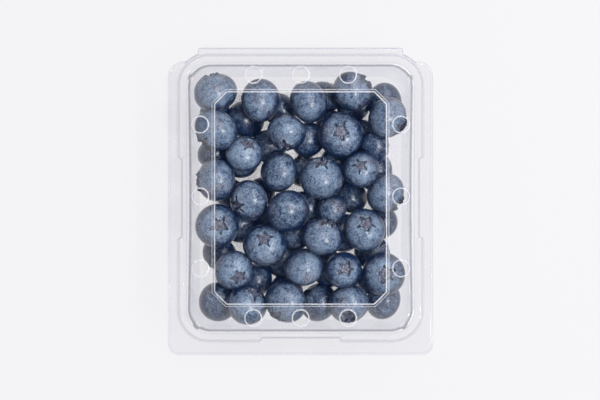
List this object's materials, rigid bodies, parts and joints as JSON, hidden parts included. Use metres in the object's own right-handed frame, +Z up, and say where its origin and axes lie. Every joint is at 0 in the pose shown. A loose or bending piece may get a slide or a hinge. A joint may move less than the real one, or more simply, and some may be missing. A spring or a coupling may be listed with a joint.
{
  "type": "punnet of blueberries",
  "caption": "Clear hinged plastic punnet with a vented lid and a raised label panel, filled with loose blueberries.",
  "frame": {"origin": "on the surface that the closed punnet stands on, under the middle of its outline", "axes": "+Z up, +Y towards the hinge, +X to the right when seen from the front flange"},
  "size_m": [0.106, 0.1228, 0.0385],
  "materials": {
    "tray_plastic": "clear, glossy",
    "lid_plastic": "clear, glossy",
    "berry_skin": "waxy bloom"
  },
  "bodies": {
    "base": {"tray": "tray_plastic", "berries": "berry_skin"},
    "lid": {"lid": "lid_plastic"}
  },
  "joints": [
    {"name": "lid_hinge", "type": "hinge", "parent": "base", "child": "lid", "pos_m": [0, 0.06155, 0.03015], "axis": [-1, 0, 0], "range_deg": [0, 180]}
  ]
}
